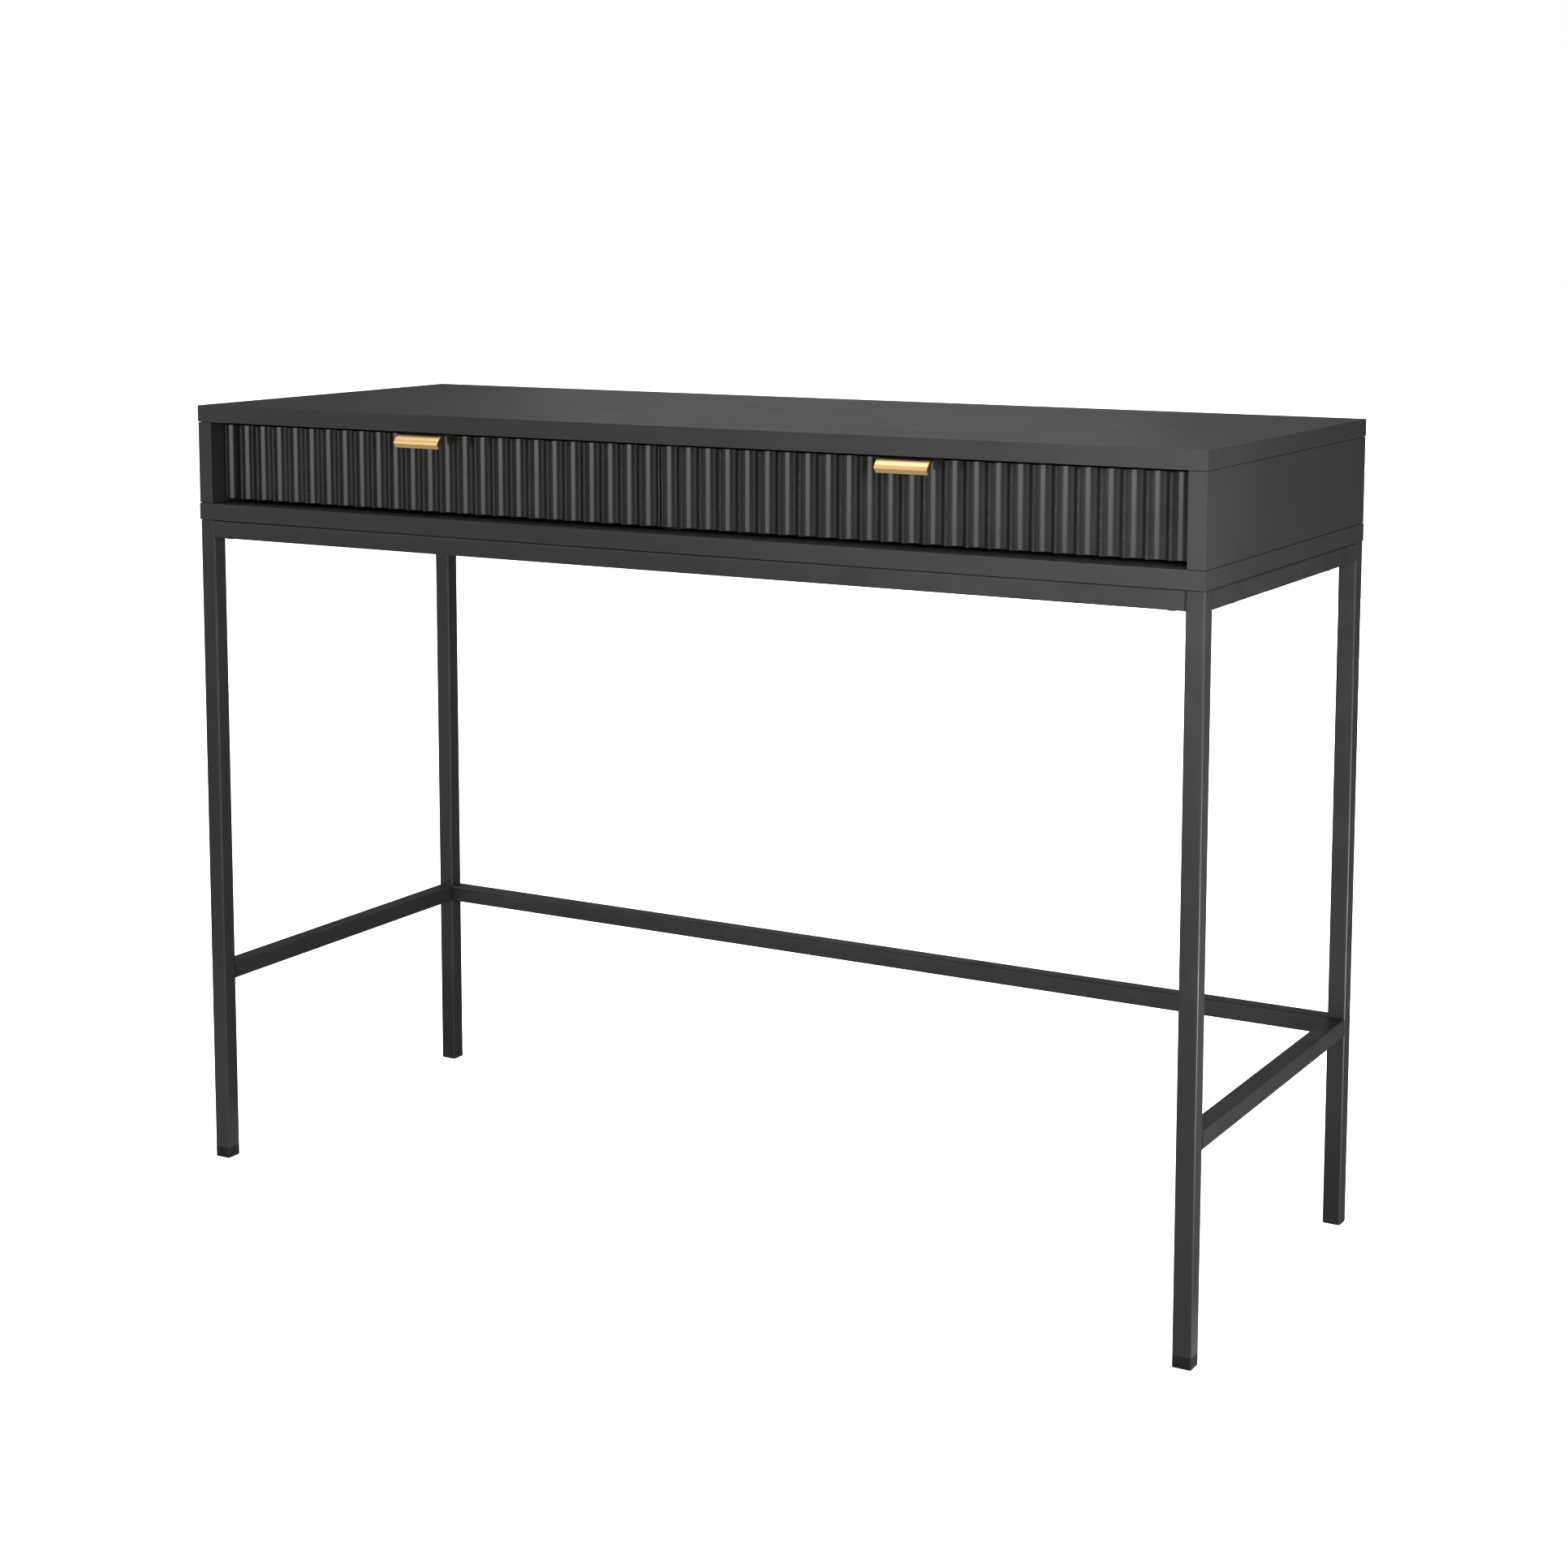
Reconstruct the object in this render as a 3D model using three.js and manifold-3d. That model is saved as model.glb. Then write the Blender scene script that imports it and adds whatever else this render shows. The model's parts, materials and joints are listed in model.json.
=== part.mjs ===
// Writing desk with two drawers side by side under a slim top, on a square tube frame.
// Millimetres, +Z up. The drawer fronts face -Y and both drawers slide out along -Y.
// The pieces are placed about the middle of the slabs. The whole desk is then moved back
// by half the pulls' reach, so that its origin is on the floor under the middle of its box.
import * as THREE from 'three';
import { mergeVertices } from 'three/addons/utils/BufferGeometryUtils.js';
import Module from 'manifold-3d';

const wasm = await Module();
wasm.setup();

// ---- Driving dimensions ----
const WIDTH = 1040;
const DEPTH = 396;
const HEIGHT = 755;
const BOARD = 16; // slabs, side panels and partition
const SEAM = 0.5; // dark joint line between parts that are screwed or dowelled together
const SET_IN = 0.3; // frame and side panels stand this far inside the slabs' edges
const BUTT = 0.1; // gap at welded, glued and seated joints

// Steel frame
const TUBE = 17; // outer side of every square tube
const TUBE_WALL = 1.2;
const TUBE_CORNER = 1.8;
const CORNER_STEPS = 3;
const BAY_HEIGHT = 79.5; // clear height between the two slabs
const STRETCHER_TOP = 198.2;
const SPIGOT = { side: 14, length: 26, weld: 0.6 }; // block on a leg that a crossbar slides over
const FOOT = { flange: 3, plugSide: 14, plugHeight: 12 };

// Drawers
const TRAVEL_GAP = { side: 1.7, middle: 2, bottom: 3.7, top: 3.5 }; // around the fronts
const FRONT_SETBACK = 18; // crests of the flutes behind the slabs' front edges
const FRONT_THICKNESS = 18;
const FLUTES = 25;
const FLUTE_DEPTH = 5.4;
const CREST = 2; // flat left between two flutes
const FLUTE_STEPS = 10;
const BOX_BOARD = 12;
const BOX_BOTTOM = 3;
const BOX_BOTTOM_RISE = 4; // underside of the bottom above the sides' lower edge
const GROOVE = { depth: 5, play: 0.2 };
const BOX_LOW = 667;
const BOX_HIGH = 725;
const BOX_BACK_Y = 150;
const BACK_PANEL = { thickness: 12, setIn: 2 };
const PARTITION_FRONT_Y = -158;

// Telescopic slides: nested channels of rolled strip
const SLIDE = { length: 300, frontY: -155, sideRoom: 12.85, strip: 1.2, midZ: 696 };
const OUTER_CHANNEL = { web: 0.1, reach: 9, halfHeight: 17.5 };
const MIDDLE_CHANNEL = { web: 2.2, reach: 10.4, halfHeight: 15.3 };
const INNER_CHANNEL = { web: 12.6, reach: 4.6, halfHeight: 13.1 };

// Edge pull: a thin flat over the drawer front that curves down into a thick lip
const PULL = { length: 50, strip: 1.4, flange: 16.5, reach: 7, drop: 8.8 };
const PULL_OUTER_BEND = 12.8;
const PULL_INNER_BEND = { radius: 7.9, behindEdge: 7.3, endAngle: 170 };
const PULL_LIP_END = { behindEdge: -4.2, below: 12.6 }; // lowest edge of the lip
const PULL_SCREW_X = 15;

// Screws: head radius and height, shank radius and length
const PULL_SCREW = { head: 3.5, headHeight: 2, shank: 1.7, length: 9.5 };
const BAR_SCREW = { head: 4.5, headHeight: 1.2, shank: 2.5, length: 11 };
const PANEL_SCREW = { head: 4, headHeight: 2.2, shank: 2, length: 29 };
const SCREW_SIDES = 16;
const HOLE_PLAY = 0.3; // radial room around a shank
const BAR_SCREW_INSET = 14; // from the leg's inner face
const PANEL_SCREW_Y = 120;

// ---- Values that follow from the driving dimensions ----
const lowerSlabTop = HEIGHT - BOARD - BAY_HEIGHT;
const lowerSlabBottom = lowerSlabTop - BOARD;
const railTop = lowerSlabBottom - SEAM;
const railMidZ = railTop - TUBE / 2;
const stretcherMidZ = STRETCHER_TOP - TUBE / 2;
const legX = WIDTH / 2 - SET_IN - TUBE / 2;
const legY = DEPTH / 2 - SET_IN - TUBE / 2;
const legInnerX = legX - TUBE / 2;
const legInnerY = legY - TUBE / 2;
const panelOuterX = WIDTH / 2 - SET_IN;
const bayX = panelOuterX - BOARD;
const backPanelY = DEPTH / 2 - BACK_PANEL.setIn;
const frontWidth = bayX - TRAVEL_GAP.side - TRAVEL_GAP.middle / 2;
const frontLow = lowerSlabTop + TRAVEL_GAP.bottom;
const frontHigh = HEIGHT - BOARD - TRAVEL_GAP.top;
const frontFaceY = -DEPTH / 2 + FRONT_SETBACK;
const frontBackY = frontFaceY + FRONT_THICKNESS;
const drawerX = (TRAVEL_GAP.middle + frontWidth) / 2;
const boxOuter = bayX - SLIDE.sideRoom; // drawer box, side next to the outer panel
const boxInner = BOARD / 2 + SLIDE.sideRoom; // drawer box, side next to the partition

// ---- Materials ----
const finish = (color, roughness, metalness) =>
  new THREE.MeshStandardMaterial({ color, roughness, metalness });
const finishes = {
  laminate: () => finish(0x2a2a2b, 0.5, 0),
  frontLacquer: () => finish(0x2e2e2f, 0.42, 0),
  powderCoat: () => finish(0x262627, 0.48, 0.2),
  boxBoard: () => finish(0x3a3a3b, 0.7, 0),
  brass: () => finish(0xc9a063, 0.32, 1),
  steel: () => finish(0x9b9da0, 0.35, 1),
  capPlastic: () => finish(0x151516, 0.6, 0),
};

// ---- Geometry helpers ----
function solidOf(geometry) {
  const bare = geometry.clone();
  bare.deleteAttribute('normal');
  bare.deleteAttribute('uv');
  const merged = mergeVertices(bare);
  const vertProperties = merged.attributes.position.array;
  const triVerts = new Uint32Array(merged.index.array);
  return new wasm.Manifold(new wasm.Mesh({ numProp: 3, vertProperties, triVerts }));
}

function geometryOf(solid) {
  const { numProp, numVert, vertProperties, triVerts } = solid.getMesh();
  const points = new Float32Array(numVert * 3);
  for (let i = 0; i < numVert; i++) {
    points.set(vertProperties.subarray(i * numProp, i * numProp + 3), i * 3);
  }
  const indexed = new THREE.BufferGeometry();
  indexed.setAttribute('position', new THREE.BufferAttribute(points, 3));
  indexed.setIndex(new THREE.BufferAttribute(triVerts, 1));
  const flat = indexed.toNonIndexed();
  flat.computeVertexNormals();
  return flat;
}

// Joins extra geometries to a first one, and then cuts others out of it.
function shaped(first, { joined = [], cut = [] }) {
  let solid = solidOf(first);
  for (const extra of joined) {
    solid = solid.add(solidOf(extra));
  }
  for (const tool of cut) {
    solid = solid.subtract(solidOf(tool));
  }
  return geometryOf(solid);
}

function mesh(name, geometry, material, [x, y, z]) {
  const piece = new THREE.Mesh(geometry, material());
  piece.name = name;
  piece.position.set(x, y, z);
  return piece;
}

// A rectangular board between two opposite corners.
function board(name, material, low, high) {
  const size = high.map((value, axis) => value - low[axis]);
  const middle = high.map((value, axis) => (value + low[axis]) / 2);
  return mesh(name, new THREE.BoxGeometry(...size), material, middle);
}

function block([sizeX, sizeY, sizeZ], [x, y, z]) {
  return new THREE.BoxGeometry(sizeX, sizeY, sizeZ).translate(x, y, z);
}

// A cylinder along +Z, from fromZ up to toZ.
function drillBit(radius, x, y, fromZ, toZ) {
  const bit = new THREE.CylinderGeometry(radius, radius, toZ - fromZ, SCREW_SIDES);
  return bit.rotateX(Math.PI / 2).translate(x, y, (fromZ + toZ) / 2);
}

function roundedSquare(outline, side, radius) {
  const reach = side / 2 - radius;
  const corners = [[reach, -reach], [reach, reach], [-reach, reach], [-reach, -reach]];
  corners.forEach(([x, y], quarter) => {
    const from = (quarter - 1) * Math.PI / 2;
    outline.absarc(x, y, radius, from, from + Math.PI / 2, false);
  });
  return outline;
}

// A square tube with open ends, along +Z and centred on the origin.
function squareTube(length) {
  const section = roundedSquare(new THREE.Shape(), TUBE, TUBE_CORNER);
  const bore = roundedSquare(new THREE.Path(), TUBE - 2 * TUBE_WALL, TUBE_CORNER - TUBE_WALL);
  section.holes.push(bore);
  const options = { depth: length, bevelEnabled: false, curveSegments: CORNER_STEPS };
  return new THREE.ExtrudeGeometry(section, options).translate(0, 0, -length / 2);
}

const alongX = (geometry) => geometry.rotateY(Math.PI / 2);
const alongY = (geometry) => geometry.rotateX(Math.PI / 2);

// A pan-head screw pointing up +Z, with the underside of its head at the origin.
function screw({ head, headHeight, shank, length }) {
  const crown = headHeight * 0.35;
  const tip = shank * 0.6;
  const profile = [
    [0, -headHeight],
    [head * 0.6, -headHeight],
    [head, -crown],
    [head, 0],
    [shank, 0],
    [shank, length - tip],
    [0, length],
  ].map(([radius, z]) => new THREE.Vector2(radius, z));
  return new THREE.LatheGeometry(profile, SCREW_SIDES).rotateX(Math.PI / 2);
}

// ---- Carcass: two slabs, side panels, back and partition ----
function carcass() {
  const group = new THREE.Group();
  const { laminate } = finishes;
  const halfX = WIDTH / 2;
  const halfY = DEPTH / 2;
  const bayTop = HEIGHT - BOARD;

  group.add(board('top_panel', laminate, [-halfX, -halfY, bayTop], [halfX, halfY, HEIGHT]));

  const pilotTop = -BOARD / 2 + PANEL_SCREW.length - TUBE - SEAM + HOLE_PLAY;
  const pilots = [];
  for (const x of [-legX, legX]) {
    for (const y of [-PANEL_SCREW_Y, PANEL_SCREW_Y]) {
      pilots.push(drillBit(PANEL_SCREW.shank + HOLE_PLAY, x, y, -BOARD, pilotTop));
    }
  }
  const lowerSlab = shaped(new THREE.BoxGeometry(WIDTH, DEPTH, BOARD), { cut: pilots });
  group.add(mesh('bottom_panel', lowerSlab, laminate, [0, 0, lowerSlabTop - BOARD / 2]));

  for (const [side, sign] of [['left', -1], ['right', 1]]) {
    const middle = [sign * (bayX + BOARD / 2), 0, (lowerSlabTop + bayTop) / 2];
    const size = [BOARD, DEPTH - 2 * SET_IN, BAY_HEIGHT - 2 * SEAM];
    group.add(mesh(side + '_side_panel', new THREE.BoxGeometry(...size), laminate, middle));
  }

  const innerLow = lowerSlabTop + BUTT;
  const innerHigh = bayTop - BUTT;
  const backFront = backPanelY - BACK_PANEL.thickness;
  const backLow = [-bayX + BUTT, backFront, innerLow];
  group.add(board('back_panel', laminate, backLow, [bayX - BUTT, backPanelY, innerHigh]));

  const partitionLow = [-BOARD / 2, PARTITION_FRONT_Y, innerLow];
  const partitionHigh = [BOARD / 2, backFront - BUTT, innerHigh];
  group.add(board('centre_partition', laminate, partitionLow, partitionHigh));
  return group;
}

// ---- Frame: legs with their caps, rails and stretchers ----
// A leg carries a welded spigot at each height where a crossbar meets it.
function leg(name, signX, signY, crossbarHeights) {
  const length = railTop - FOOT.flange;
  const midZ = FOOT.flange + length / 2;
  const spigotLength = SPIGOT.length + SPIGOT.weld;
  const spigotX = -signX * (TUBE / 2 - SPIGOT.weld + spigotLength / 2);
  const screwX = -signX * (TUBE / 2 + BAR_SCREW_INSET);
  const joined = [];
  const cut = [];
  for (const height of crossbarHeights) {
    const z = height - midZ;
    const screwTop = z - TUBE / 2 + BAR_SCREW.length + HOLE_PLAY;
    joined.push(block([spigotLength, SPIGOT.side, SPIGOT.side], [spigotX, 0, z]));
    cut.push(drillBit(BAR_SCREW.shank + HOLE_PLAY, screwX, 0, z - TUBE / 2, screwTop));
  }
  const geometry = shaped(squareTube(length), { joined, cut });
  return mesh(name, geometry, finishes.powderCoat, [signX * legX, signY * legY, midZ]);
}

function footCap(name, signX, signY) {
  const flange = roundedSquare(new THREE.Shape(), TUBE, TUBE_CORNER);
  const options = { depth: FOOT.flange - BUTT, bevelEnabled: false, curveSegments: CORNER_STEPS };
  const plate = new THREE.ExtrudeGeometry(flange, options);
  const plugMid = (FOOT.flange + FOOT.plugHeight) / 2;
  const plug = block([FOOT.plugSide, FOOT.plugSide, FOOT.plugHeight], [0, 0, plugMid]);
  const geometry = shaped(plate, { joined: [plug] });
  return mesh(name, geometry, finishes.capPlastic, [signX * legX, signY * legY, 0]);
}

// A rail from front leg to rear leg. The upper ones are drilled for the carcass screws.
function sideRail(name, signX, midZ, drilled) {
  const tube = alongY(squareTube(2 * (legInnerY - BUTT)));
  const bit = (y) => drillBit(PANEL_SCREW.shank + HOLE_PLAY, 0, y, -TUBE, TUBE);
  const cut = drilled ? [bit(-PANEL_SCREW_Y), bit(PANEL_SCREW_Y)] : [];
  return mesh(name, shaped(tube, { cut }), finishes.powderCoat, [signX * legX, 0, midZ]);
}

// A crossbar from left leg to right leg, with a screw up through its underside at each end.
function crossbar(name, signY, midZ) {
  const group = new THREE.Group();
  const screwX = legInnerX - BAR_SCREW_INSET;
  const tube = alongX(squareTube(2 * (legInnerX - SEAM)));
  const cut = [-screwX, screwX].map((x) =>
    drillBit(BAR_SCREW.shank + HOLE_PLAY, x, 0, -TUBE, 0));
  const y = signY * legY;
  group.add(mesh(name, shaped(tube, { cut }), finishes.powderCoat, [0, y, midZ]));
  for (const [side, sign] of [['left', -1], ['right', 1]]) {
    const place = [sign * screwX, y, midZ - TUBE / 2 - BUTT];
    group.add(mesh(name + '_screw_' + side, screw(BAR_SCREW), finishes.steel, place));
  }
  return group;
}

function steelFrame() {
  const group = new THREE.Group();
  const sides = [['left', -1], ['right', 1]];
  const ends = [['front', -1, [railMidZ]], ['rear', 1, [railMidZ, stretcherMidZ]]];
  for (const [side, signX] of sides) {
    for (const [end, signY, heights] of ends) {
      group.add(leg(end + '_' + side + '_leg', signX, signY, heights));
      group.add(footCap(end + '_' + side + '_foot_cap', signX, signY));
      const place = [signX * legX, signY * PANEL_SCREW_Y, railTop - TUBE - BUTT];
      const name = end + '_' + side + '_carcass_screw';
      group.add(mesh(name, screw(PANEL_SCREW), finishes.steel, place));
    }
    group.add(sideRail(side + '_top_rail', signX, railMidZ, true));
    group.add(sideRail(side + '_stretcher', signX, stretcherMidZ, false));
  }
  group.add(crossbar('front_top_rail', -1, railMidZ));
  group.add(crossbar('rear_top_rail', 1, railMidZ));
  group.add(crossbar('rear_stretcher', 1, stretcherMidZ));
  return group;
}

// ---- Drawers ----
// The front's plan outline: circular coves side by side, with a narrow crest between them.
function flutedOutline() {
  const pitch = frontWidth / FLUTES;
  const halfCove = (pitch - CREST) / 2;
  const radius = (halfCove ** 2 + FLUTE_DEPTH ** 2) / (2 * FLUTE_DEPTH);
  const sweep = Math.asin(halfCove / radius);
  const outline = new THREE.Shape();
  outline.moveTo(-frontWidth / 2, FRONT_THICKNESS);
  outline.lineTo(-frontWidth / 2, 0);
  for (let i = 0; i < FLUTES; i++) {
    const x = -frontWidth / 2 + (i + 0.5) * pitch;
    const y = FLUTE_DEPTH - radius;
    for (let step = 0; step <= FLUTE_STEPS; step++) {
      const angle = sweep * (2 * step / FLUTE_STEPS - 1);
      outline.lineTo(x + radius * Math.sin(angle), y + radius * Math.cos(angle));
    }
  }
  outline.lineTo(frontWidth / 2, 0);
  outline.lineTo(frontWidth / 2, FRONT_THICKNESS);
  return outline;
}

function drawerFront(name) {
  const height = frontHigh - frontLow;
  const slab = new THREE.ExtrudeGeometry(flutedOutline(), { depth: height, bevelEnabled: false });
  const screwZ = pullScrewZ() - frontLow;
  const holeFrom = FRONT_THICKNESS - PULL_SCREW.length + PULL.strip;
  const cut = [-PULL_SCREW_X, PULL_SCREW_X].map((x) =>
    drillBit(PULL_SCREW.shank + HOLE_PLAY, x, -screwZ, holeFrom, FRONT_THICKNESS + BOARD)
      .rotateX(-Math.PI / 2));
  const geometry = shaped(slab, { cut });
  return mesh(name, geometry, finishes.frontLacquer, [0, frontFaceY, frontLow]);
}

const pullScrewZ = () => frontHigh - PULL.flange / 2;

// The pull's profile: a flange behind the front, a flat over its top edge, an outer bend that
// reaches past the slabs' front edges, a bevel back to the lip's lowest edge and an inner bend.
function edgePull(name) {
  const { strip, flange, reach, drop, length } = PULL;
  const under = frontHigh + BUTT;
  const over = under + strip;
  const flangeBack = frontBackY + BUTT + strip;
  const edgeY = -DEPTH / 2;
  const outer = PULL_OUTER_BEND;
  const tipAngle = Math.PI - Math.asin((outer - drop) / outer);
  const outerY = edgeY - reach - outer * Math.cos(tipAngle);
  const { radius, behindEdge, endAngle } = PULL_INNER_BEND;
  const innerEnd = THREE.MathUtils.degToRad(endAngle);
  const profile = new THREE.Shape();
  profile.moveTo(flangeBack, under - flange);
  profile.lineTo(flangeBack, over);
  profile.absarc(outerY, over - outer, outer, Math.PI / 2, tipAngle, false);
  profile.lineTo(edgeY + PULL_LIP_END.behindEdge, over - PULL_LIP_END.below);
  profile.absarc(edgeY + behindEdge, under - radius, radius, innerEnd, Math.PI / 2, true);
  profile.lineTo(flangeBack - strip, under);
  profile.lineTo(flangeBack - strip, under - flange);
  const bent = new THREE.ExtrudeGeometry(profile, {
    depth: length, bevelEnabled: false, curveSegments: 10,
  });
  // The profile's (x, y) are the desk's (y, z), so its extrusion runs along the desk's X.
  bent.rotateX(Math.PI / 2).rotateZ(Math.PI / 2).translate(-length / 2, 0, 0);
  const cut = [-PULL_SCREW_X, PULL_SCREW_X].map((x) =>
    drillBit(PULL_SCREW.shank + HOLE_PLAY, x, -pullScrewZ(), frontBackY, flangeBack + strip)
      .rotateX(-Math.PI / 2));
  return mesh(name, shaped(bent, { cut }), finishes.brass, [0, 0, 0]);
}

// A drawer box side, grooved on its inner face for the bottom. Inward is the sign of X there.
function boxSide(name, x, inward) {
  const height = BOX_HIGH - BOX_LOW;
  const grooveLow = BOX_BOTTOM_RISE - GROOVE.play;
  const grooveHigh = BOX_BOTTOM_RISE + BOX_BOTTOM + GROOVE.play;
  const half = BOX_BOARD / 2;
  const profile = new THREE.Shape();
  profile.moveTo(-half, 0);
  profile.lineTo(half, 0);
  profile.lineTo(half, grooveLow);
  profile.lineTo(half - GROOVE.depth, grooveLow);
  profile.lineTo(half - GROOVE.depth, grooveHigh);
  profile.lineTo(half, grooveHigh);
  profile.lineTo(half, height);
  profile.lineTo(-half, height);
  const length = BOX_BACK_Y - frontBackY - BUTT;
  const side = new THREE.ExtrudeGeometry(profile, { depth: length, bevelEnabled: false });
  side.rotateX(Math.PI / 2);
  const piece = mesh(name, side, finishes.boxBoard, [x, BOX_BACK_Y, BOX_LOW]);
  if (inward < 0) {
    piece.rotation.z = Math.PI;
    piece.position.y = frontBackY + BUTT;
  }
  return piece;
}

// One member of a slide. It stands at wallX, and toDrawer is the sign of X towards the drawer.
function slideMember(name, channel, wallX, toDrawer) {
  const { web, reach, halfHeight } = channel;
  const { strip, length, frontY, midZ } = SLIDE;
  const inside = web + Math.sign(reach - web) * strip;
  const profile = new THREE.Shape([
    [web, -halfHeight],
    [reach, -halfHeight],
    [reach, -halfHeight + strip],
    [inside, -halfHeight + strip],
    [inside, halfHeight - strip],
    [reach, halfHeight - strip],
    [reach, halfHeight],
    [web, halfHeight],
  ].map(([out, z]) => new THREE.Vector2(out * toDrawer, z)));
  const strand = new THREE.ExtrudeGeometry(profile, { depth: length, bevelEnabled: false });
  strand.rotateX(Math.PI / 2);
  return mesh(name, strand, finishes.steel, [wallX, frontY + length, midZ]);
}

// The walls that carry a drawer's two slides: the outer side panel and the partition.
function slideWalls(sign) {
  return [
    ['outer', sign * bayX, -sign],
    ['inner', sign * BOARD / 2, sign],
  ];
}

function drawer(side, sign) {
  const group = new THREE.Group();
  const frontGroup = new THREE.Group();
  frontGroup.position.x = sign * drawerX;
  frontGroup.add(drawerFront(side + '_drawer_front'));
  frontGroup.add(edgePull(side + '_drawer_pull'));
  for (const [end, x] of [['a', -PULL_SCREW_X], ['b', PULL_SCREW_X]]) {
    const place = [x, frontBackY + 2 * BUTT + PULL.strip, pullScrewZ()];
    const piece = mesh(side + '_pull_screw_' + end, screw(PULL_SCREW), finishes.steel, place);
    piece.rotation.x = Math.PI / 2; // points along -Y, into the front
    frontGroup.add(piece);
  }
  group.add(frontGroup);

  const outerMid = boxOuter - BOX_BOARD / 2;
  const innerMid = boxInner + BOX_BOARD / 2;
  group.add(boxSide(side + '_drawer_outer_side', sign * outerMid, -sign));
  group.add(boxSide(side + '_drawer_inner_side', sign * innerMid, sign));

  const clearInner = boxInner + BOX_BOARD;
  const clearOuter = boxOuter - BOX_BOARD;
  const backSize = [clearOuter - clearInner - 2 * BUTT, BOX_BOARD];
  const bottomTop = BOX_LOW + BOX_BOTTOM_RISE + BOX_BOTTOM;
  const backHeight = BOX_HIGH - bottomTop - BUTT;
  const middleX = sign * (clearInner + clearOuter) / 2;
  group.add(mesh(
    side + '_drawer_back',
    new THREE.BoxGeometry(...backSize, backHeight),
    finishes.boxBoard,
    [middleX, BOX_BACK_Y - BOX_BOARD / 2, BOX_HIGH - backHeight / 2],
  ));

  const bottomWidth = clearOuter - clearInner + 2 * (GROOVE.depth - GROOVE.play);
  const bottomDepth = BOX_BACK_Y - frontBackY - BUTT;
  group.add(mesh(
    side + '_drawer_bottom',
    new THREE.BoxGeometry(bottomWidth, bottomDepth, BOX_BOTTOM),
    finishes.boxBoard,
    [middleX, BOX_BACK_Y - bottomDepth / 2, bottomTop - BOX_BOTTOM / 2],
  ));

  for (const [wall, wallX, toDrawer] of slideWalls(sign)) {
    const label = side + '_' + wall + '_slide_';
    group.add(slideMember(label + 'cabinet_member', OUTER_CHANNEL, wallX, toDrawer));
    group.add(slideMember(label + 'middle_member', MIDDLE_CHANNEL, wallX, toDrawer));
    group.add(slideMember(label + 'drawer_member', INNER_CHANNEL, wallX, toDrawer));
  }
  return group;
}

const desk = new THREE.Group();
desk.add(carcass());
desk.add(steelFrame());
desk.add(drawer('left', -1));
desk.add(drawer('right', 1));
desk.position.y = PULL.reach / 2;

export default desk;
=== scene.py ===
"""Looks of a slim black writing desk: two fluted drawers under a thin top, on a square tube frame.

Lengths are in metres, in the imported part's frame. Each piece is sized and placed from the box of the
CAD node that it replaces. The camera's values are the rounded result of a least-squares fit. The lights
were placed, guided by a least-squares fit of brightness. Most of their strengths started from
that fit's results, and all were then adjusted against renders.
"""
import json
import math

import bmesh
import bpy
from mathutils import Euler, Matrix, Vector

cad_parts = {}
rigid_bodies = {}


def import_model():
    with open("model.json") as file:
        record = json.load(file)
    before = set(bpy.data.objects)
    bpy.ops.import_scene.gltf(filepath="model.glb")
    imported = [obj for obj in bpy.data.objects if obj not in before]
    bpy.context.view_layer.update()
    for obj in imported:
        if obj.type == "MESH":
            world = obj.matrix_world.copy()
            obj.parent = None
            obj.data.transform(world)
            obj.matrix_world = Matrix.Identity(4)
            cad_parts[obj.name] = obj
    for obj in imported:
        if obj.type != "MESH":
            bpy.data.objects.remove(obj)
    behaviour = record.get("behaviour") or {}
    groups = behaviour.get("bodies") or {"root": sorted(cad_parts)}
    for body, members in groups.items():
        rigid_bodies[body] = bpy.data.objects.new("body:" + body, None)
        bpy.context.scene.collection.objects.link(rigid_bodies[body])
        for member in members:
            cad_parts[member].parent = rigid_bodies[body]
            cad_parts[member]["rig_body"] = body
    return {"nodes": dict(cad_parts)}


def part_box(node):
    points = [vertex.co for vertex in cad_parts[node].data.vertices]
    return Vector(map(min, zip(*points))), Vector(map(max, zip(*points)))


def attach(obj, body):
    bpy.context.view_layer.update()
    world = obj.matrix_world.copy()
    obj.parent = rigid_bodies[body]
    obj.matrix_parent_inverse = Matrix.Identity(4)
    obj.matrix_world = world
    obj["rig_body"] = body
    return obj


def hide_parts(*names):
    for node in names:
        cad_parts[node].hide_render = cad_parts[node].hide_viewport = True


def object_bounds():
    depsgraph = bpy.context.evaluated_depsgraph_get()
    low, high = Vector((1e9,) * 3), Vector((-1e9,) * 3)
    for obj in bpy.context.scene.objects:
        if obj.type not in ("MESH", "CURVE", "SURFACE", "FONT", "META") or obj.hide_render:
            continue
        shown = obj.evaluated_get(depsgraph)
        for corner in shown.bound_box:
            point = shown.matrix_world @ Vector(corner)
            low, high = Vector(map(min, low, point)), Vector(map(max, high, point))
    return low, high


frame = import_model()
cad_low, cad_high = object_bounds()

MM = 0.001
SMOOTH_BELOW = math.radians(35)

# ---- Sizes that the looks add to the CAD boxes ----
BOARD_ROUND = 0.5 * MM  # rounding of every board edge
TUBE_WALL = 1.2 * MM
TUBE_CORNER = 1.8 * MM
TUBE_CORNER_STEPS = 5
TUBE_SIDE = 17 * MM
SPIGOT_SIDE = 14 * MM
FLUTES = 25
FLUTE_DEPTH = 5.4 * MM
CREST = 2.0 * MM
CREST_ROUND = 0.5 * MM
FRONT_ROUND = 0.4 * MM
COVE_SIDES = 20
GROOVE_DEPTH = 5 * MM
GROOVE_PLAY = 0.2 * MM
BOX_SIDE_ROUND = 0.35 * MM
BOX_BOTTOM_ROUND = 0.3 * MM
FOOT_FLANGE = 2.9 * MM
FOOT_ROUND = 0.8 * MM
SLIDE_STRIP = 1.2 * MM
SLIDE_BEND = 0.45 * MM
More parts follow.
